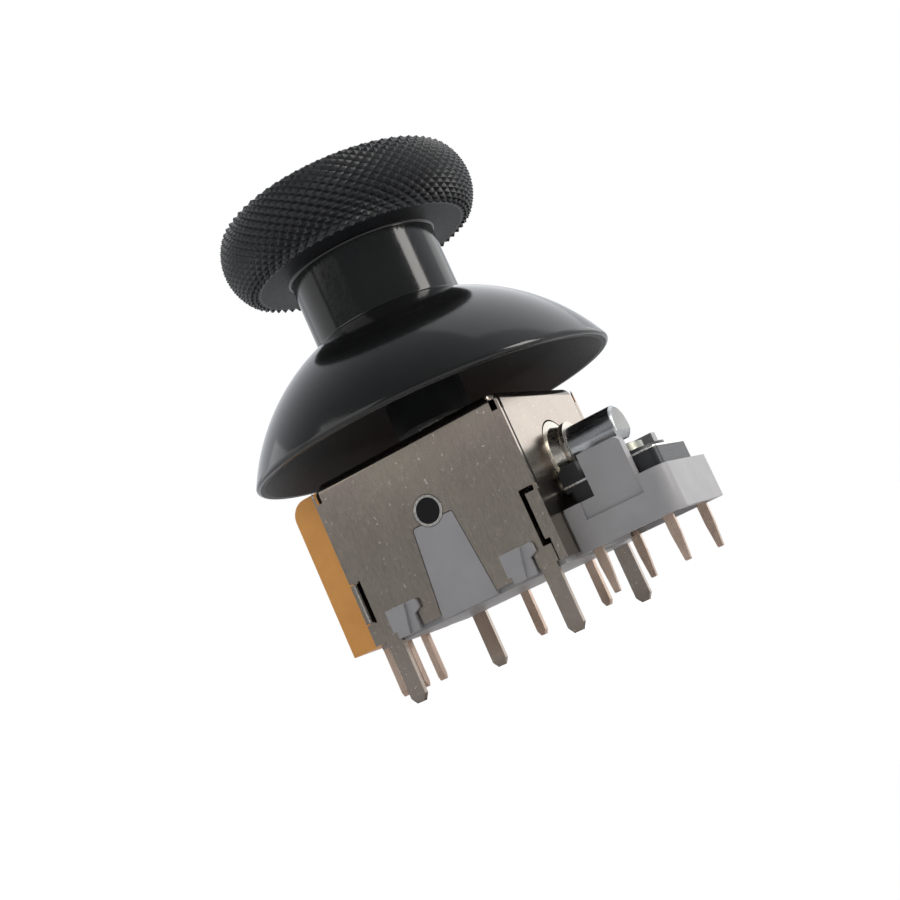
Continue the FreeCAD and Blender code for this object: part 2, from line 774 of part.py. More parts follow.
def housing():
    """Open box for the push switch with two pillars and a recessed foot."""
    shell = slab(
        "housing_start", "housing_end", "-1 * housing_front", "housing_back",
        "housing_bottom", "housing_top")
    right = val("housing_end")
    for radius, ahead in (("housing_corner", True), ("housing_back_corner", False)):
        blend(shell, radius, lambda edge: (
            upright_edge(edge) and abs(edge.BoundBox.XMin - right) < 1e-4
            and (edge.BoundBox.YMin < 0) == ahead))
    web = box(
        "can_half_x - 2 * sheet", "housing_start + housing_gap", "-1 * window_half", "window_half",
        "housing_bottom", "window_top")
    front = [
        ("pillar_start", "housing_top - 0.3"),
        ("pillar_end", "housing_top - 0.3"),
        ("pillar_end", "pillar_top - pillar_bevel"),
        ("pillar_end - pillar_bevel", "pillar_top"),
        ("pillar_start", "pillar_top"),
    ]
    front_pillar = plate("XZ", front, "pillar_front - pillar_thick", "pillar_thick")
    back_pillar = box(
        "pillar_start", "pillar_back_end", "pillar_back - pillar_thick", "pillar_back",
        "housing_top - 0.3", "pillar_top")
    recess = box(
        "foot_start", "foot_end", "-1 * housing_front - 1", "-1 * pillar_front",
        "foot_bottom", "housing_top + 1")
    seat = "(switch_half + free_gap)"
    cavity = box(
        "switch_x - " + seat, "switch_x + " + seat, "-1 * " + seat, seat,
        "switch_bottom - free_gap", "housing_top + 1")
    hollow = box(
        "housing_start + housing_rim", "housing_end - housing_rim", "-1 * housing_front + housing_rim",
        "housing_back - housing_rim", "-1", "housing_bottom + housing_recess")
    slots = [box(*switch_pin_slot(across, side)) for across in (-1, 1) for side in (-1, 1)]
    return cut(fuse(shell, web, front_pillar, back_pillar), recess, cavity, hollow, *slots)


def switch_pin_slot(across, side):
    """Clear way for one switch terminal down through the housing wall."""
    middle = "(switch_x - switch_pin_shift + %d * switch_pin_x)" % across
    half = "(switch_pin_width / 2 + free_gap)"
    inner = "%d * switch_half" % side
    outer = "%d * (switch_pin_y + switch_pin_thick / 2 + free_gap)" % side
    low, high = (inner, outer) if side > 0 else (outer, inner)
    return (middle + " - " + half, middle + " + " + half, low, high, "housing_bottom - 1", "housing_top + 1")


def base():
    edge_x = "can_half_x - sheet - free_gap"
    edge_y = "can_half_y - sheet - free_gap"
    floor = box("-1 * (" + edge_x + ")", edge_x, "-1 * (" + edge_y + ")", edge_y, "0", "floor_top")
    reach = "(case_half - ledge_end)"
    left_ledge = box(
        "-1 * can_half_x - ledge_reach", "-1 * can_half_x + 2 * sheet", "-1 * " + reach, reach,
        "ledge_bottom", "ledge_top")
    back_ledge = box(
        "-1 * " + reach, reach, "can_half_y - 2 * sheet", "can_half_y + ledge_reach",
        "ledge_bottom", "ledge_top")
    post = plate("XZ", upright_outline("0"), "can_half_y - upright_depth", "upright_depth")
    seat = rod("y", "-1 * can_half_y - 1", "0", "bush_radius + run_gap", "0", "pivot_z")
    bore = rod("z", "seat_stem_end - 0.15", "floor_top + 1", "seat_stem_radius + run_gap")
    body = fuse(floor, left_ledge, back_ledge, post, hook(-1), hook(1), housing())
    keep(cut(body, seat, bore), "base")


# Potentiometers: one set of pieces, drawn at the left wall and turned to the back wall


def place_pot(item, name, piece):
    """Leaves a piece at the left wall or turns it round to the back wall."""
    if name == "back":
        item.Placement = Placement(Vector(), Rotation(Vector(0, 0, 1), -90))
        bind(item, "Placement.Base.y", "can_half_y - can_half_x")
    keep(item, "pot_%s_%s" % (name, piece))


def pot_case(name):
    face = "(-1 * can_half_x - free_gap)"
    back = "(%s - case_depth)" % face
    shell = slab(back, face, "-1 * case_half", "case_half", "case_bottom", "case_top")
    high = high_edge("case_top")
    outer = val(back)
    blend(shell, "case_round", lambda edge: high(edge) and edge.BoundBox.XMax < outer + 1e-4)
    cavity = box(
        back + " + case_wall", face + " + 1",
        "-1 * case_half + case_rim + 0.1", "case_half - case_rim - 0.1",
        "board_bottom - free_gap", "board_top + free_gap")
    reach = "(case_half - ledge_end + free_gap)"
    rebate = box(
        "-1 * can_half_x - ledge_reach - free_gap", face + " + 1", "-1 * " + reach, reach,
        "case_bottom - 1", "ledge_top + free_gap")
    slots = [box(*pot_pin_slot(place)) for place in (-1, 0, 1)]
    place_pot(cut(shell, cavity, rebate, *slots), name, "case")


def pin_depth():
    """Inner and outer X of the terminals, in front of the track board."""
    track = "(-1 * can_half_x - free_gap - case_depth + case_wall + board_thick + free_gap)"
    return track, track + " + pin_thick"


def pot_pin_slot(place):
    back, front = pin_depth()
    middle = "%d * pin_pitch" % place
    half = "(pin_width / 2 + free_gap / 2)"
    return (
        back + " - free_gap / 2", front + " + free_gap / 2", middle + " - " + half, middle + " + " + half,
        "case_bottom - 1", "board_bottom + 1")


def pot_board(name):
    back = "(-1 * can_half_x - free_gap - case_depth + case_wall + 0.02)"
    sheet_half = "(case_half - case_rim - 0.15)"
    board = slab(
        back, back + " + board_thick", "-1 * " + sheet_half, sheet_half, "board_bottom", "board_top")
    place_pot(board, name, "board")


def pot_rotor(name):
    disc = rod("x", "-1 * rotor_face", "-1 * rotor_face + rotor_thick", "rotor_radius", "0", "pivot_z")
    hub = rod("x", "-1 * rotor_face + 0.1", "-1 * hub_inner", "hub_radius", "0", "pivot_z")
    slot_half = "(key_thick / 2 + 0.5 * run_gap)"
    slot_rise = "(key_height / 2 + 0.5 * run_gap)"
    slot = box(
        "-1 * key_centre - key_height / 2 - free_gap", "-1 * hub_inner + 1", "-1 * " + slot_half, slot_half,
        "pivot_z - " + slot_rise, "pivot_z + " + slot_rise)
    place_pot(cut(fuse(disc, hub), slot), name, "rotor")


def pot_wiper(name):
    track = "(-1 * rotor_face)"
    ring = cut(
        rod("x", track + " - wiper_thick", track, "wiper_outer", "0", "pivot_z"),
        rod("x", track + " - 1", track + " + 1", "wiper_inner", "0", "pivot_z"),
    )
    reach = pin_depth()[0]
    fingers = [
        box(
            reach, track, "%s - wiper_thick" % side, "%s + wiper_thick" % side,
            "pivot_z + wiper_inner + 0.15", "pivot_z + wiper_outer - 0.15")
        for side in ("-0.3", "0.3")
    ]
    place_pot(fuse(ring, *fingers), name, "wiper")


def pot_terminal(name, number):
    back, front = pin_depth()
    middle = "%d * pin_pitch" % (number - 2)
    half = "pin_width / 2"
    blade = box(
        back, front, middle + " - " + half, middle + " + " + half, "-1 * pin_length + 0.3", "pin_head_top")
    tip = doc.addObject("Part::Wedge", "Tip")
    bind(tip, "Xmin", back)
    bind(tip, "Xmax", front)
    turned_middle = "-1 * " + middle
    bind(tip, "Zmin", turned_middle + " - " + half + " / 2")
    bind(tip, "Zmax", turned_middle + " + " + half + " / 2")
    bind(tip, "X2min", back)
    bind(tip, "X2max", front)
    bind(tip, "Z2min", turned_middle + " - " + half)
    bind(tip, "Z2max", turned_middle + " + " + half)
    bind(tip, "Ymin", "0")
    bind(tip, "Ymax", "0.3")
    tip.Placement = Placement(Vector(), Rotation(Vector(1, 0, 0), 90))
    bind(tip, "Placement.Base.z", "-1 * pin_length")
    place_pot(fuse(blade, tip), name, "terminal_%d" % number)


# Return of the lever


def spring_seat():
    top = "(pivot_z - lever_foot - 0.02)"
    seat = turned([
        ("0", top),
        ("seat_radius", top),
        ("seat_radius", top + " - seat_thick"),
        ("seat_stem_radius", top + " - seat_thick"),
        ("seat_stem_radius", "seat_stem_end"),
        ("0", "seat_stem_end"),
    ])
    keep(seat, "spring_seat")


def return_spring():
    room = "(pivot_z - lever_foot - 0.04 - seat_thick - floor_top)"
    body = doc.addObject("PartDesign::Body", "Body")
    flat = "spring_wire * 0.414"
    middle = "(floor_top + 0.01 + spring_wire)"
    corners = [
        ("spring_wire", flat), (flat, "spring_wire"),
        ("-1 * " + flat, "spring_wire"), ("-1 * spring_wire", flat),
        ("-1 * spring_wire", "-1 * " + flat),
        ("-1 * " + flat, "-1 * spring_wire"), (flat, "-1 * spring_wire"),
        ("spring_wire", "-1 * " + flat),
    ]
    section = [("spring_radius + %s" % across, middle + " + %s" % up) for across, up in corners]
    sketch = outline(body, "XZ", section)
    coil = body.newObject("PartDesign::AdditiveHelix", "Coil")
    coil.Profile = sketch
    coil.ReferenceAxis = (sketch, ["V_Axis"])
    coil.Mode = 1
    doc.recompute()
    rise = "(%s - 2 * spring_wire)" % room
    bind(coil, "Height", rise)
    bind(coil, "Turns", "spring_turns")
    bind(coil, "Pitch", rise + " / spring_turns")
    keep(body, "return_spring")


# Push switch


def post_limits(side):
    """Locating post at a can-side corner of the switch body."""
    low = "(-1 * switch_half)" if side < 0 else "(switch_half - post_width)"
    high = "(-1 * switch_half + post_width)" if side < 0 else "switch_half"
    return ("switch_x - switch_half", "switch_x - switch_half + post_length", low, high)


def post(side):
    x0, x1, low, high = post_limits(side)
    top = "switch_top + cover_thick + post_rise"
    points = [
        (x0, "switch_top - 0.3"),
        (x1, "switch_top - 0.3"),
        (x1, top),
        (x0 + " + post_bevel", top),
        (x0, top + " - post_bevel"),
    ]
    return plate("XZ", points, "-1 * " + high, "post_width")


def guide_arcs(gap):
    """Low ring round the button, open towards the collar."""
    ring = cut(
        rod(
            "z", "switch_top - 0.3", "switch_top + cover_thick + guide_rise",
            "guide_radius + " + gap, "switch_x"),
        rod("z", "switch_top - 1", "switch_top + 1", "guide_radius - guide_wide - " + gap, "switch_x"),
    )
    near = "switch_x - guide_gate * guide_radius - " + gap
    reach = "2 * guide_radius"
    gate = box("switch_x - " + reach, near, "-1 * " + reach, reach, "switch_top - 1", "switch_top + 1")
    return cut(ring, gate)


def switch_base():
    body = slab(
        "switch_x - switch_half", "switch_x + switch_half", "-1 * switch_half", "switch_half",
        "switch_bottom", "switch_top")
    blend(body, "switch_corner", upright_edge)
    posts = [post(side) for side in (-1, 1)]
    room = rod("z", "dome_floor", "switch_top + 1", "dome_radius + free_gap", "button_x")
    slots = [box(*terminal_tab(across, side, "0.02")) for across in (-1, 1) for side in (-1, 1)]
    keep(cut(fuse(body, guide_arcs("0"), *posts), room, *slots), "switch_base")


def switch_cover():
    body = slab(
        "switch_x - cover_half", "switch_x + cover_half", "-1 * cover_half", "cover_half",
        "switch_top + 0.005", "switch_top + cover_thick")
    blend(body, "switch_corner", upright_edge)
    hole = rod("z", "switch_top - 1", "switch_top + 1", "button_radius + run_gap", "button_x")
    clear = []
    for side in (-1, 1):
        x0, x1, y0, y1 = post_limits(side)
        clear.append(box(
            x0 + " - 1", x1 + " + free_gap", y0 + " - free_gap - %d" % (side < 0),
            y1 + " + free_gap + %d" % (side > 0), "switch_top - 1", "switch_top + 1"))
    keep(cut(body, hole, guide_arcs("free_gap"), *clear), "switch_cover")


def switch_plunger():
    foot = "dome_floor + dome_rise + 0.02"
    shoulder = "button_top - 0.2"
    button = turned([
        ("0", "button_top", "(button_radius * button_radius + 0.04) / 0.4"),
        ("button_radius", shoulder),
        ("button_radius", "switch_top - free_gap"),
        ("button_head", "switch_top - free_gap"),
        ("button_head", foot + " + 0.3"),
        ("0.5 * button_radius", foot + " + 0.3"),
        ("0.5 * button_radius", foot),
        ("0", foot),
    ])
    bind(button, "Placement.Base.x", "button_x")
    keep(button, "switch_plunger")


def switch_dome():
    top = "(dome_floor + dome_rise)"
    leaf = turned([
        ("0", top),
        ("0.35 * dome_radius", top),
        ("0.8 * dome_radius", top + " - 0.4 * dome_rise"),
        ("dome_radius", "dome_floor + dome_leaf"),
        ("dome_radius", "dome_floor + 0.02"),
        ("dome_radius - dome_leaf", "dome_floor + 0.02"),
        ("0.8 * dome_radius - dome_leaf", top + " - 0.4 * dome_rise - dome_leaf"),
        ("0.35 * dome_radius", top + " - dome_leaf"),
        ("0", top + " - dome_leaf"),
    ])
    bind(leaf, "Placement.Base.x", "button_x")
    keep(leaf, "switch_dome")


def terminal_tab(across, side, gap):
    """Part of a switch terminal held inside the switch body."""
    middle = "(switch_x - switch_pin_shift + %d * switch_pin_x)" % across
    half = "(switch_pin_width / 2 + %s)" % gap
    inner = "%d * (switch_half - tab_reach - %s)" % (side, gap)
    outer = "%d * switch_pin_y" % side
    low, high = (inner, outer) if side > 0 else (outer, inner)
    rise = "(switch_bottom + tab_rise)"
    return (
        middle + " - " + half, middle + " + " + half, low, high,
        rise + " - switch_pin_thick - " + gap, rise + " + " + gap)


def switch_terminal(number, across, side):
    middle = "(switch_x - switch_pin_shift + %d * switch_pin_x)" % across
    wide = "switch_pin_width / 2"
    slim = "switch_pin_tip / 2"
    rise = "(switch_bottom + tab_rise)"
    points = [
        (middle + " - " + slim, "-1 * switch_pin_length"),
        (middle + " + " + slim, "-1 * switch_pin_length"),
        (middle + " + " + wide, "-1 * switch_pin_length / 3"),
        (middle + " + " + wide, rise),
        (middle + " - " + wide, rise),
        (middle + " - " + wide, "-1 * switch_pin_length / 3"),
    ]
    offset = "%d * switch_pin_y - switch_pin_thick / 2" % (-side)
    blade = plate("XZ", points, offset, "switch_pin_thick")
    keep(fuse(blade, box(*terminal_tab(across, side, "0"))), "switch_terminal_%d" % number)


# Assembly

thumb_cap()
lever()
lever_pin()
arm_x()
arm_y()
pivot_bush()
metal_frame()
base()
for wall in ("left", "back"):
    pot_case(wall)
    pot_board(wall)
    pot_rotor(wall)
    pot_wiper(wall)
    for pin in (1, 2, 3):
        pot_terminal(wall, pin)
spring_seat()
return_spring()
switch_base()
switch_cover()
switch_plunger()
switch_dome()
for number, (across, side) in enumerate(((-1, -1), (1, -1), (-1, 1), (1, 1)), start=1):
    switch_terminal(number, across, side)

doc.recompute()

for item in doc.Objects:
    if "Invalid" in item.State or "Error" in item.State:
        raise RuntimeError("%s did not build: %s" % (item.Label, item.State))
for item in parts:
    if item.Shape.isNull() or not item.Shape.isValid():
        raise RuntimeError("%s has no sound shape" % item.Label)
    if len(item.Shape.Solids) != 1:
        raise RuntimeError("%s is not one solid" % item.Label)

os.makedirs("parts", exist_ok=True)
for item in parts:
    item.Shape.exportStep("parts/%s.step" % item.Label)
print("%d pieces" % len(parts))
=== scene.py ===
import json
import math

import bpy
from mathutils import Matrix, Vector

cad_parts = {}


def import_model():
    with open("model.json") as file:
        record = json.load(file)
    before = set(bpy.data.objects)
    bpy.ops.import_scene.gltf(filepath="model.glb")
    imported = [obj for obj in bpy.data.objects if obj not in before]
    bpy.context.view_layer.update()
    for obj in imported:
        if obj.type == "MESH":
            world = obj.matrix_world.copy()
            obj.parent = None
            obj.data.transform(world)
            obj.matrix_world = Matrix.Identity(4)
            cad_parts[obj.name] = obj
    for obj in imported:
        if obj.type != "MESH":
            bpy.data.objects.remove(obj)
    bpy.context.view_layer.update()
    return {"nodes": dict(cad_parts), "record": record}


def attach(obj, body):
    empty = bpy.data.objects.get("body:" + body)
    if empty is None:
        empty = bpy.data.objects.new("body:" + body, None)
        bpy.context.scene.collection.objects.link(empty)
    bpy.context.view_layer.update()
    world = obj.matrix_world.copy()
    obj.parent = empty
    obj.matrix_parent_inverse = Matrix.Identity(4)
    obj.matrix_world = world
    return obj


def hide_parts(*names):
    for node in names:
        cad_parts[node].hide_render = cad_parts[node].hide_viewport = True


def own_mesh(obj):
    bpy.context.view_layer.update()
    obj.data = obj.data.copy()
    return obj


# Thumb stick with a knurled cap. Sizes below are written in millimetres and turned into metres by MM.

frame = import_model()
NODES = frame["nodes"]
MM = 0.001

# Thumb cap profile, the same values as its CAD solid
DISC_TOP = 27.35
DISC_BOTTOM = 22.95
DISC_RADIUS = 8.2
DISC_LAND = 6.85
EDGE_ROUND = 0.9
DISH_RADIUS = 6.3
DISH_DEPTH = 0.7
LAND_INSET = 0.05
STEM_RADIUS = 4.8
STEM_FILLET = 0.15
STEM_WALL = 1.1
BELL_CENTRE = 6.4
BELL_RADIUS = 12.95
BELL_WALL = 1.0
BELL_FILLET = 0.12
RIM_Z = 11.64
RIM_LIP = 0.2
RIM_WALL = 0.5
RIM_TAPER = 1.6
CORE_TOP = 21.4
SOCKET_RADIUS = 2.5
SOCKET_BOTTOM = 11.4
LEVER_END = 20.05
LEVER_BORE = 1.325

# Steps in the arcs of the cap's profile
EDGE_STEPS = 40
DISH_STEPS = 16
FILLET_STEPS = 4
BELL_STEPS = 48
INNER_STEPS = 32
LIP_STEPS = 6

# Knurl of the disc edge: diamonds round the disc, and millimetres from one to the next down the edge
KNURL_COUNT = 66
KNURL_PITCH = 0.54

# Relief of the knurl, the share of it that lies below the plain edge, and the crossing grooves' share
KNURL_HEIGHT = 0.23
KNURL_SINK = 0.25
KNURL_CROSS = 0.78

# Mesh steps in a diamond, and the rings over which the knurl fades out at the top and the bottom
KNURL_STEPS = 6
TOP_FADE = 10
BOTTOM_FADE = 2

# Degrees above which an edge of the cap stays sharp, and above which an edge of a CAD piece is rounded
SHARP_ANGLE = 35
ROUNDED_ANGLE = 35

# Where the collar of the rocking arm ends and its shaft begins
COLLAR_END = 7.76

# Thin trims on the switch and the can, from the sizes of their CAD solids
TRIM_THICK = 0.02
SWITCH_LEFT = 7.03
SWITCH_FRONT = -2.97
LIP_BOTTOM = 3.9
LIP_TOP = 4.02
LIP_END = 8.7
CAN_SIDE = 6.75
CAN_FRONT = -5.95
# Cut edge of the left tab, where a bright strip is painted as its highlight
TAB_LEFT = -6.46
TAB_RIGHT = -6.34
TAB_BOTTOM = 1.75
TAB_TOP = 4.1
TAB_PROUD = 0.12
# Seam near the front corner of the can's right wall, where a dark strip is painted as the shadow in the gap
SEAM_FRONT = -5.68
SEAM_BACK = -5.5
SEAM_BOTTOM = 4.45
SEAM_TOP = 9.6

# Camera fitted to the photograph, which is 900 pixels wide
CAMERA_PLACE = (38.08, -81.85, -3.53)
CAMERA_AZIMUTH = 24.892
CAMERA_PITCH = 8.252
CAMERA_ROLL = 24.255
FOCAL_PIXELS = 1484.68
PHOTO_WIDTH = 900
SENSOR = 36.0

# Floor at the tips of the lugs, half its width in metres, how pale it is and what it glows for the camera
FLOOR_Z = -3.7
FLOOR_HALF = 2.0
FLOOR_PALE = 0.9
FLOOR_GLOW = 0.62

# Light from all round: tint, strength before and behind the object, and where the one turns into the other
WORLD_TINT = (0.92, 0.95, 1, 1)
WORLD_FRONT = 0.24
WORLD_BACK = 0.95
BLEND_FRONT = -0.5
BLEND_BACK = 0.8


# Material helpers


def new_material(name, color, roughness, metallic=0.0):
    material = bpy.data.materials.new(name)
    material.use_nodes = True
    shader = material.node_tree.nodes["Principled BSDF"]
    shader.inputs["Base Color"].default_value = (*color, 1)
    shader.inputs["Roughness"].default_value = roughness
    shader.inputs["Metallic"].default_value = metallic
    return material


def add_node(material, kind, **inputs):
    node = material.node_tree.nodes.new(kind)
    for name, value in inputs.items():
        node.inputs[name].default_value = value
    return node


def noise(material, scale, detail=4.0, stretch=(1, 1, 1)):
    """Noise over the object's own coordinates, scale in cells per millimetre."""
    links = material.node_tree.links
    place = add_node(material, "ShaderNodeTexCoord")
    mapping = add_node(material, "ShaderNodeMapping", Scale=[scale * part / MM for part in stretch])
    texture = add_node(material, "ShaderNodeTexNoise", Scale=1.0, Detail=detail)
    links.new(place.outputs["Object"], mapping.inputs["Vector"])
    links.new(mapping.outputs["Vector"], texture.inputs["Vector"])
    return texture.outputs["Fac"]


def ramp(material, source, low, high, first, second):
    """Colours from first to second where the source goes from low to high."""
    node = add_node(material, "ShaderNodeValToRGB")
    node.color_ramp.elements[0].position = low
    node.color_ramp.elements[1].position = high
    node.color_ramp.elements[0].color = (*first, 1)
    node.color_ramp.elements[1].color = (*second, 1)
    material.node_tree.links.new(source, node.inputs["Fac"])
    return node.outputs["Color"]


def mix(material, factor, source, color):
    """The source where the factor is black, and one plain colour where it is white."""
    node = material.node_tree.nodes.new("ShaderNodeMix")
    node.data_type = "RGBA"
    links = material.node_tree.links
    links.new(factor, node.inputs[0])
    links.new(source, node.inputs[6])
    node.inputs[7].default_value = (*color, 1)
    return node.outputs[2]


def connect(material, source, socket):
    material.node_tree.links.new(source, material.node_tree.nodes["Principled BSDF"].inputs[socket])


def vary_gloss(material, source, low, high, glossy, matt):
    """Roughness from glossy to matt where the source goes from low to high."""
    connect(material, ramp(material, source, low, high, (glossy,) * 3, (matt,) * 3), "Roughness")


def bump(material, source, strength, depth):
    """Fine relief, depth in millimetres."""
    node = add_node(material, "ShaderNodeBump", Strength=strength, Distance=depth * MM)
    material.node_tree.links.new(source, node.inputs["Height"])
    connect(material, node.outputs["Normal"], "Normal")


def plastic(name, color, shade, roughness, grain=3.0, relief=0.004):
    """Moulded plastic with a faint mottle and fine grain."""
    material = new_material(name, color, roughness)
    cloud = noise(material, grain * 0.2)
    connect(material, ramp(material, cloud, 0.35, 0.7, color, shade), "Base Color")
    fine = noise(material, grain * 3)
    vary_gloss(material, fine, 0.3, 0.7, roughness - 0.05, roughness + 0.06)
    bump(material, fine, 0.25, relief)
    return material


def metal(name, color, shade, roughness, stretch=(1, 1, 1), relief=0.004):
    """Rolled or drawn metal with tarnish and fine streaks."""
    material = new_material(name, color, roughness, 1.0)
    cloud = noise(material, 0.6, 6.0)
    connect(material, ramp(material, cloud, 0.3, 0.72, shade, color), "Base Color")
    streak = noise(material, 6.0, 5.0, stretch)
    vary_gloss(material, streak, 0.3, 0.75, roughness - 0.06, roughness + 0.1)
    bump(material, streak, 0.2, relief)
    return material


def worn_sheet(name, color, shade, speck, roughness):
    """Plated sheet: wide soft stains, a fine grain and scattered bright specks."""
    material = new_material(name, color, roughness, 1.0)
    stains = ramp(material, noise(material, 0.22, 3.0), 0.35, 0.68, shade, color)
    spots = ramp(material, noise(material, 5.5, 1.0), 0.7, 0.76, (0, 0, 0), (0.7,) * 3)
    connect(material, mix(material, spots, stains, speck), "Base Color")
    scratches = noise(material, 9.0, 3.0, (1, 1, 0.3))
    vary_gloss(material, scratches, 0.35, 0.75, roughness - 0.015, roughness + 0.03)
    bump(material, scratches, 0.04, 0.001)
    return material


def dull(material, level):
    """Less mirror in the surface, for worn and shaded plastic."""
    material.node_tree.nodes["Principled BSDF"].inputs["Specular IOR Level"].default_value = level
    return material


MATERIALS = {
    "cap_black": plastic("cap_black", (0.007, 0.0072, 0.0072), (0.01, 0.0103, 0.01), 0.12, 2.0, 0.0005),
    "knurl_black": plastic("knurl_black", (0.012, 0.0125, 0.014), (0.017, 0.0175, 0.019), 0.4, 4.0, 0.004),
    "cap_inside": dull(plastic("cap_inside", (0.007, 0.0075, 0.009), (0.01, 0.0105, 0.012), 0.45), 0.25),
    "can_steel": worn_sheet("can_steel", (0.45, 0.4, 0.33), (0.405, 0.342, 0.298), (0.8, 0.74, 0.68), 0.22),
    "housing_grey": plastic("housing_grey", (0.365, 0.355, 0.36), (0.40, 0.39, 0.395), 0.42),
    "case_orange": plastic("case_orange", (0.82, 0.375, 0.085), (0.74, 0.33, 0.072), 0.45),
    "pin_tinned": metal("pin_tinned", (0.68, 0.52, 0.42), (0.50, 0.37, 0.29), 0.3, (1, 1, 0.1)),
    "arm_dark": dull(plastic("arm_dark", (0.006, 0.006, 0.007), (0.009, 0.009, 0.01), 0.5), 0.2),
    "shaft_blued": metal("shaft_blued", (0.54, 0.55, 0.55), (0.40, 0.415, 0.43), 0.27, (0.1, 1, 1), 0.006),
    "arm_turned": metal("arm_turned", (0.68, 0.64, 0.57), (0.56, 0.52, 0.46), 0.28),
    "arm_sawn": metal("arm_sawn", (0.36, 0.36, 0.35), (0.28, 0.28, 0.27), 0.45),
    "steel_bright": metal("steel_bright", (0.82, 0.79, 0.74), (0.66, 0.63, 0.58), 0.2),
    "switch_black": plastic("switch_black", (0.02, 0.021, 0.024), (0.028, 0.029, 0.033), 0.4),
    "cover_bright": metal("cover_bright", (0.88, 0.86, 0.83), (0.76, 0.74, 0.7), 0.22),
    "button_black": metal("button_face", (0.40, 0.40, 0.34), (0.30, 0.30, 0.26), 0.35),
    "board_brown": plastic("board_brown", (0.22, 0.11, 0.045), (0.18, 0.09, 0.04), 0.5),
    "rotor_cream": plastic("rotor_cream", (0.6, 0.53, 0.4), (0.55, 0.48, 0.36), 0.45),
    "wiper_brass": metal("wiper_brass", (0.72, 0.52, 0.22), (0.6, 0.42, 0.17), 0.3),
}

SLOTS = {entry["node"]: entry["material_slot"] for entry in frame["record"]["subparts"]}
for name, slot in SLOTS.items():
    mesh = NODES[name].data
    mesh.materials.clear()
    mesh.materials.append(MATERIALS[slot])


# The rocking arm is pale where it is turned, darker along the shaft and dull on the sawn end

arm = NODES["arm_x"]
arm.data.materials.append(MATERIALS["arm_turned"])
arm.data.materials.append(MATERIALS["arm_sawn"])
for polygon in arm.data.polygons:
    if (arm.matrix_world @ polygon.center).x < COLLAR_END * MM:
        polygon.material_index = 1
    elif polygon.normal.x > 0.9:
        polygon.material_index = 2


# Small rounds on the edges of pressed and moulded pieces, once their double points are joined

WELD_REACH = 0.0005
PIN_SOFTNESS = 0.06
EDGE_SOFTNESS = {
    "metal_frame": 0.05,
    "base": 0.06,
    "switch_base": 0.05,
    "switch_cover": 0.02,
    "arm_x": 0.04,
    "pivot_bush": 0.02,
    "pot_left_case": 0.12,
    "pot_back_case": 0.12,
}
for name in NODES:
    if "terminal" in name:
        EDGE_SOFTNESS[name] = PIN_SOFTNESS

for name, width in EDGE_SOFTNESS.items():
    piece = NODES[name]
    weld = piece.modifiers.new("Weld", "WELD")
    weld.merge_threshold = WELD_REACH * MM
    soft = piece.modifiers.new("Soft edges", "BEVEL")
    soft.width = width * MM
    soft.segments = 2
    soft.limit_method = "ANGLE"
    soft.angle_limit = math.radians(ROUNDED_ANGLE)
    soft.harden_normals = True
    soft.use_clamp_overlap = True


# Thumb cap: smooth bell and stem, diamond knurl round the disc edge


def arc(start, end, radius, steps):
    """Points of the shorter arc from start to end, bulging left of the way for a positive radius."""
    start, end = Vector(start), Vector(end)
    chord = end - start
    left = Vector((-chord.y, chord.x)).normalized() * math.copysign(1, radius)
    centre = (start + end) / 2 - left * math.sqrt(max(radius * radius - chord.length_squared / 4, 0))
    first = math.atan2(start.y - centre.y, start.x - centre.x)
    last = math.atan2(end.y - centre.y, end.x - centre.x)
    turn = (last - first + math.pi) % (2 * math.pi) - math.pi
    size = abs(radius)
    angles = [first + turn * n / steps for n in range(steps + 1)]
    return [Vector((centre.x + size * math.cos(a), centre.y + size * math.sin(a))) for a in angles]


def bell_radius(z, sphere):
    return math.sqrt(sphere ** 2 - (z - BELL_CENTRE) ** 2)


def bell_height(radius, sphere):
    return BELL_CENTRE + math.sqrt(sphere ** 2 - radius ** 2)


def edge_profile():
    """Disc edge from the top land round to the underside: two corner arcs and one side arc."""
    reach = DISC_RADIUS - DISC_LAND
    half = (DISC_TOP - DISC_BOTTOM) / 2
    side = (reach ** 2 + half ** 2 - 2 * half * EDGE_ROUND) / (2 * (reach - EDGE_ROUND))
    lean = EDGE_ROUND / (side - EDGE_ROUND)
    join_x = DISC_LAND + lean * (side - reach)
    join_z = EDGE_ROUND - lean * (half - EDGE_ROUND)
    points = []
    for start, end, radius in (
        ((DISC_LAND, DISC_TOP), (join_x, DISC_TOP - join_z), EDGE_ROUND),
        ((join_x, DISC_TOP - join_z), (join_x, DISC_BOTTOM + join_z), side),
        ((join_x, DISC_BOTTOM + join_z), (DISC_LAND, DISC_BOTTOM), EDGE_ROUND),
    ):
        points += arc(start, end, radius, EDGE_STEPS)[1 if points else 0:]
    return evenly_spaced(points)


def evenly_spaced(points):
    """Points at equal steps along the polyline, a whole number of knurl pitches in all."""
    reached = [0.0]
    for before, after in zip(points, points[1:]):
        reached.append(reached[-1] + (after - before).length)
    count = KNURL_STEPS * round(reached[-1] / KNURL_PITCH)
    spaced = []
    at = 0
    for n in range(count + 1):
        goal = reached[-1] * n / count
        while at < len(points) - 2 and reached[at + 1] < goal:
            at += 1
        share = (goal - reached[at]) / (reached[at + 1] - reached[at])
        spaced.append(points[at].lerp(points[at + 1], share))
    return spaced


def knurl(column, row):
    """Height of the diamonds: 1 on a point, less in the crossing grooves and 0 in the deep ones."""
    first = (column + row) / KNURL_STEPS
    second = (column - row) / KNURL_STEPS
    return 1 - 2 * max(KNURL_CROSS * abs(first - round(first)), abs(second - round(second)))


def add_ring(verts, count, radius, z):
    start = len(verts)
    for n in range(count):
        turn = 2 * math.pi * n / count
        verts.append((radius * math.cos(turn) * MM, radius * math.sin(turn) * MM, z * MM))
    return start


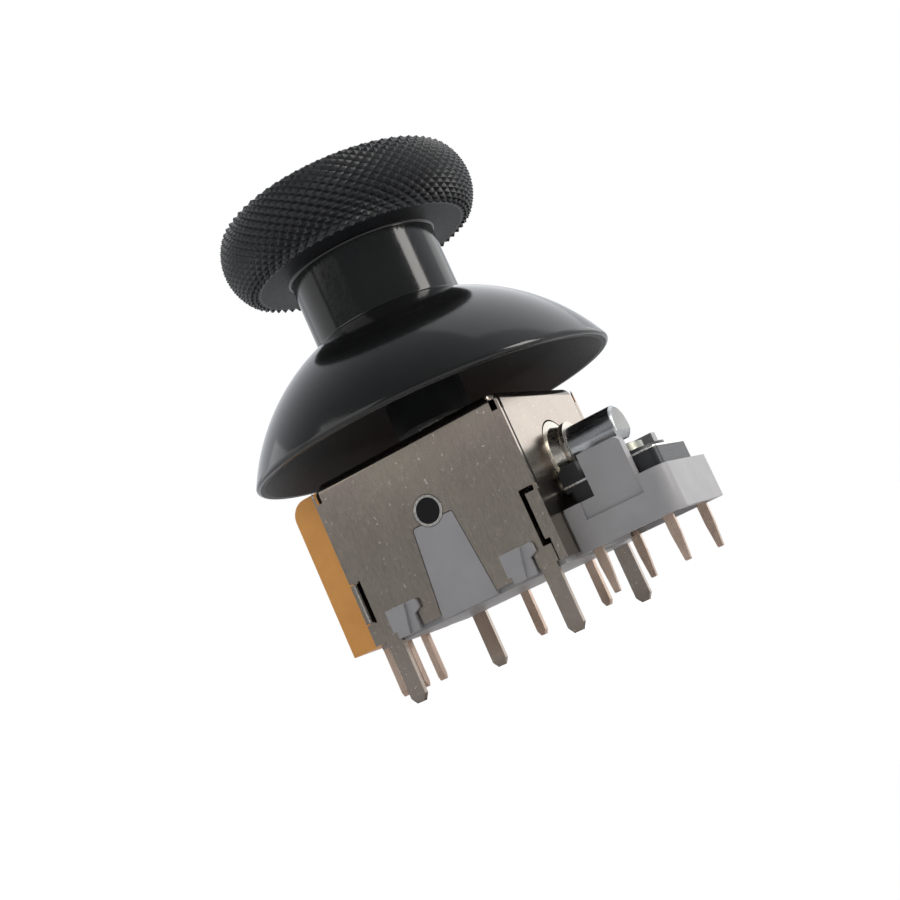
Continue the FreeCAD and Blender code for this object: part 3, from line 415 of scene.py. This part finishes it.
def top_profile():
    """Dish and land, from the middle of the disc outwards."""
    dish = -(DISH_RADIUS ** 2 + DISH_DEPTH ** 2) / (2 * DISH_DEPTH)
    points = arc((0, DISC_TOP - DISH_DEPTH), (DISH_RADIUS, DISC_TOP), dish, DISH_STEPS)
    return points[1:] + [Vector((DISC_LAND - LAND_INSET, DISC_TOP))]


def outer_profile():
    """Underside of the disc, then the stem and the bell down to the round of the rim."""
    neck = STEM_RADIUS + STEM_FILLET
    points = [Vector((DISC_LAND - LAND_INSET, DISC_BOTTOM)), Vector((neck, DISC_BOTTOM))]
    fillet_end = (STEM_RADIUS, DISC_BOTTOM - STEM_FILLET)
    points += arc((neck, DISC_BOTTOM), fillet_end, -STEM_FILLET, FILLET_STEPS)[1:]
    root = (STEM_RADIUS, bell_height(STEM_RADIUS, BELL_RADIUS) + BELL_FILLET)
    shoulder = (STEM_RADIUS + BELL_FILLET, bell_height(STEM_RADIUS + BELL_FILLET, BELL_RADIUS))
    points += arc(root, shoulder, -BELL_FILLET, FILLET_STEPS)
    lip = bell_radius(RIM_Z + RIM_LIP, BELL_RADIUS)
    points += arc(shoulder, (lip, RIM_Z + RIM_LIP), BELL_RADIUS, BELL_STEPS)[1:]
    points += arc((lip, RIM_Z + RIM_LIP), (lip - RIM_LIP, RIM_Z), RIM_LIP, LIP_STEPS)[1:]
    return points


def inner_profile():
    """Rim, inside of the bell and of the hollow stem, then the socket up to the end of the lever."""
    sphere = BELL_RADIUS - BELL_WALL
    core = STEM_RADIUS - STEM_WALL
    lip = bell_radius(RIM_Z + RIM_LIP, BELL_RADIUS)
    taper = bell_radius(RIM_Z + RIM_TAPER, sphere)
    points = [Vector((lip - RIM_WALL, RIM_Z))]
    points += arc((taper, RIM_Z + RIM_TAPER), (core, bell_height(core, sphere)), -sphere, INNER_STEPS)
    for radius, z in (
        (core, CORE_TOP),
        (SOCKET_RADIUS, CORE_TOP),
        (SOCKET_RADIUS, SOCKET_BOTTOM),
        (LEVER_BORE, SOCKET_BOTTOM),
        (LEVER_BORE, LEVER_END),
    ):
        points.append(Vector((radius, z)))
    return points


def add_knurled_rings(verts, count, edge):
    """One ring of count points for each point of the edge, pushed in and out by the knurl."""
    starts = []
    for n, point in enumerate(edge):
        before = edge[max(n - 1, 0)]
        after = edge[min(n + 1, len(edge) - 1)]
        tangent = (after - before).normalized()
        outward = Vector((-tangent.y, tangent.x))
        fade = min(1.0, n / TOP_FADE, (len(edge) - 1 - n) / BOTTOM_FADE)
        starts.append(len(verts))
        for k in range(count):
            turn = 2 * math.pi * k / count
            rise = KNURL_HEIGHT * fade * (knurl(k, n) - KNURL_SINK)
            radius = point.x + outward.x * rise
            z = point.y + outward.y * rise
            verts.append((radius * math.cos(turn) * MM, radius * math.sin(turn) * MM, z * MM))
    return starts


# Places of the three looks in the cap's list of materials
SMOOTH, KNURLED, INSIDE = range(3)


def thumb_cap():
    count = KNURL_COUNT * KNURL_STEPS
    edge = edge_profile()
    outer = outer_profile()
    verts = [(0, 0, (DISC_TOP - DISH_DEPTH) * MM)]
    rings = [add_ring(verts, count, point.x, point.y) for point in top_profile()]
    edge_from = len(rings)
    rings += add_knurled_rings(verts, count, edge)
    outer_from = len(rings)
    rings += [add_ring(verts, count, point.x, point.y) for point in outer + inner_profile()]
    inner_from = outer_from + len(outer)
    tip = len(verts)
    verts.append((0, 0, LEVER_END * MM))
    faces = [(0, rings[0] + n, rings[0] + (n + 1) % count) for n in range(count)]
    look = [SMOOTH] * count
    for row, (high, low) in enumerate(zip(rings, rings[1:])):
        rough = edge_from - 1 <= row < outer_from
        hidden = row == outer_from or row >= inner_from - 1
        step = row - edge_from
        for n in range(count):
            m = (n + 1) % count
            if not rough:
                faces.append((high + n, low + n, low + m, high + m))
            elif knurl(n, step) + knurl(m, step + 1) < knurl(m, step) + knurl(n, step + 1):
                faces += [(high + n, low + n, low + m), (high + n, low + m, high + m)]
            else:
                faces += [(high + n, low + n, high + m), (low + n, low + m, high + m)]
            look += [KNURLED] * 2 if rough else [INSIDE if hidden else SMOOTH]
    faces += [(rings[-1] + n, tip, rings[-1] + (n + 1) % count) for n in range(count)]
    look += [INSIDE] * count
    mesh = bpy.data.meshes.new("thumb_cap_skin")
    mesh.from_pydata(verts, [], faces)
    mesh.materials.append(MATERIALS["cap_black"])
    mesh.materials.append(MATERIALS["knurl_black"])
    mesh.materials.append(MATERIALS["cap_inside"])
    for polygon, kind in zip(mesh.polygons, look):
        polygon.material_index = kind
        polygon.use_smooth = kind != KNURLED
    mesh.update()
    cap = bpy.data.objects.new("thumb_cap_skin", mesh)
    bpy.context.collection.objects.link(cap)
    cap.data.set_sharp_from_angle(angle=math.radians(SHARP_ANGLE))
    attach(cap, "lever")
    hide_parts("thumb_cap")


thumb_cap()


# Return spring and switch dome, as copies carried by the base


def springy(node):
    """Copy of the node with a mesh of its own, carried by the base, with the node hidden."""
    copy = bpy.data.objects.new(node + "_skin", NODES[node].data.copy())
    bpy.context.collection.objects.link(copy)
    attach(copy, "base")
    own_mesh(copy)
    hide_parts(node)


springy("return_spring")
springy("switch_dome")


# Thin trims: the turned-down edge of the switch cover, a bright strip on the left tab's cut edge painted as
# its highlight, and a dark strip painted as the shadow in the corner seam


def trim(name, outline, bottom, top, slot):
    """Upright strip with the outline given in plan."""
    verts = [(x * MM, y * MM, z * MM) for z in (bottom, top) for x, y in outline]
    count = len(outline)
    faces = [(n, (n + 1) % count, (n + 1) % count + count, n + count) for n in range(count)]
    faces += [tuple(reversed(range(count))), tuple(range(count, 2 * count))]
    mesh = bpy.data.meshes.new(name)
    mesh.from_pydata(verts, [], faces)
    mesh.materials.append(MATERIALS[slot])
    piece = bpy.data.objects.new(name, mesh)
    bpy.context.collection.objects.link(piece)
    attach(piece, "base")


def switch_cover_lip():
    front = SWITCH_FRONT - TRIM_THICK
    left = SWITCH_LEFT - TRIM_THICK
    outline = (
        (left, -SWITCH_FRONT), (left, front), (LIP_END, front),
        (LIP_END, SWITCH_FRONT), (SWITCH_LEFT, SWITCH_FRONT), (SWITCH_LEFT, -SWITCH_FRONT))
    trim("switch_cover_lip", outline, LIP_BOTTOM, LIP_TOP, "cover_bright")


# Bright strip on the left tab's cut edge: the edge is real, its brightness is a painted highlight
def left_tab_edge_glint():
    front = CAN_FRONT - TAB_PROUD
    outline = ((TAB_LEFT, front), (TAB_RIGHT, front), (TAB_RIGHT, CAN_FRONT), (TAB_LEFT, CAN_FRONT))
    trim("left_tab_edge_glint", outline, TAB_BOTTOM, TAB_TOP, "steel_bright")


# Dark strip painted as the shadow in the seam near the front corner of the can's right wall
def corner_seam_shadow():
    side = CAN_SIDE + 0.5 * TRIM_THICK
    outline = ((CAN_SIDE, SEAM_FRONT), (side, SEAM_FRONT), (side, SEAM_BACK), (CAN_SIDE, SEAM_BACK))
    trim("corner_seam_shadow", outline, SEAM_BOTTOM, SEAM_TOP, "arm_dark")


switch_cover_lip()
left_tab_edge_glint()
corner_seam_shadow()


# Floor and white surround


def glow_to_camera(material):
    """A plain surface that also glows a little where the camera looks at it, so that it shows white."""
    tree = material.node_tree
    shader = tree.nodes["Principled BSDF"]
    shader.inputs["Specular IOR Level"].default_value = 0.0
    paths = tree.nodes.new("ShaderNodeLightPath")
    glow = tree.nodes.new("ShaderNodeEmission")
    glow.inputs["Strength"].default_value = FLOOR_GLOW
    blend = tree.nodes.new("ShaderNodeAddShader")
    choose = tree.nodes.new("ShaderNodeMixShader")
    output = tree.nodes["Material Output"]
    tree.links.new(shader.outputs[0], blend.inputs[0])
    tree.links.new(glow.outputs[0], blend.inputs[1])
    tree.links.new(paths.outputs["Is Camera Ray"], choose.inputs["Fac"])
    tree.links.new(shader.outputs[0], choose.inputs[1])
    tree.links.new(blend.outputs[0], choose.inputs[2])
    tree.links.new(choose.outputs[0], output.inputs["Surface"])


def floor():
    signs = ((-1, -1), (1, -1), (1, 1), (-1, 1))
    corners = [(across * FLOOR_HALF, along * FLOOR_HALF, 0) for across, along in signs]
    mesh = bpy.data.meshes.new("floor")
    mesh.from_pydata(corners, [], [(0, 1, 2, 3)])
    ground = bpy.data.objects.new("floor", mesh)
    ground.location.z = FLOOR_Z * MM
    bpy.context.collection.objects.link(ground)
    material = new_material("floor", (FLOOR_PALE,) * 3, 0.9)
    glow_to_camera(material)
    mesh.materials.append(material)


def world():
    """White to the camera, and for all else a light from all round that is brighter behind the object."""
    surround = bpy.data.worlds.new("surround")
    bpy.context.scene.world = surround
    surround.use_nodes = True
    tree = surround.node_tree
    paths = tree.nodes.new("ShaderNodeLightPath")
    white = tree.nodes["Background"]
    white.inputs["Strength"].default_value = 1.0
    white.inputs["Color"].default_value = (1, 1, 1, 1)
    soft = tree.nodes.new("ShaderNodeBackground")
    soft.inputs["Color"].default_value = WORLD_TINT
    place = tree.nodes.new("ShaderNodeTexCoord")
    split = tree.nodes.new("ShaderNodeSeparateXYZ")
    depth = tree.nodes.new("ShaderNodeMapRange")
    depth.interpolation_type = "SMOOTHSTEP"
    depth.inputs["From Min"].default_value = BLEND_FRONT
    depth.inputs["From Max"].default_value = BLEND_BACK
    depth.inputs["To Min"].default_value = WORLD_FRONT
    depth.inputs["To Max"].default_value = WORLD_BACK
    tree.links.new(place.outputs["Generated"], split.inputs[0])
    tree.links.new(split.outputs["Y"], depth.inputs["Value"])
    tree.links.new(depth.outputs["Result"], soft.inputs["Strength"])
    choose = tree.nodes.new("ShaderNodeMixShader")
    tree.links.new(paths.outputs["Is Camera Ray"], choose.inputs["Fac"])
    tree.links.new(soft.outputs[0], choose.inputs[1])
    tree.links.new(white.outputs[0], choose.inputs[2])
    tree.links.new(choose.outputs[0], tree.nodes["World Output"].inputs["Surface"])


def area_light(name, place, target, size, power, color=(1, 1, 1)):
    """Rectangular light aimed at the target, with place, target and size in millimetres."""
    lamp = bpy.data.lights.new(name, "AREA")
    lamp.shape = "RECTANGLE"
    lamp.size, lamp.size_y = [part * MM for part in size]
    lamp.energy = power
    lamp.color = color
    light = bpy.data.objects.new(name, lamp)
    light.location = Vector(place) * MM
    light.rotation_euler = (Vector(target) - Vector(place)).to_track_quat("-Z", "Y").to_euler()
    bpy.context.collection.objects.link(light)


def camera():
    """Camera from its place, its heading left of +Y, its pitch upwards and its roll."""
    turn = math.radians(CAMERA_AZIMUTH)
    pitch = math.radians(CAMERA_PITCH)
    roll = math.radians(CAMERA_ROLL)
    forward = Vector((-math.sin(turn) * math.cos(pitch), math.cos(turn) * math.cos(pitch), math.sin(pitch)))
    right = forward.cross(Vector((0, 0, 1))).normalized()
    down = forward.cross(right)
    across = right * math.cos(roll) + down * math.sin(roll)
    below = down * math.cos(roll) - right * math.sin(roll)
    lens = bpy.data.cameras.new("camera")
    lens.sensor_width = SENSOR
    lens.lens = SENSOR * FOCAL_PIXELS / PHOTO_WIDTH
    lens.clip_start = 0.001
    eye = bpy.data.objects.new("camera", lens)
    turned = Matrix((across, -below, -forward)).transposed()
    eye.matrix_world = Matrix.Translation(Vector(CAMERA_PLACE) * MM) @ turned.to_4x4()
    bpy.context.collection.objects.link(eye)
    bpy.context.scene.camera = eye


floor()
world()
area_light("key", (-90, -150, 120), (0, 0, 8), (160, 160), power=0.08)
area_light("right", (160, 10, 60), (5, 0, 6), (50, 120), power=0.12, color=(1, 0.97, 0.92))
area_light("left", (-160, -20, 40), (0, 0, 8), (160, 160), power=0.05)
area_light("above", (20, 200, 270), (0, 10, 0), (360, 360), power=0.2)
area_light("behind", (90, 190, 45), (6, 0, 6), (110, 110), power=0.03, color=(1, 0.98, 0.93))
camera()

bpy.context.scene.view_settings.view_transform = "Standard"
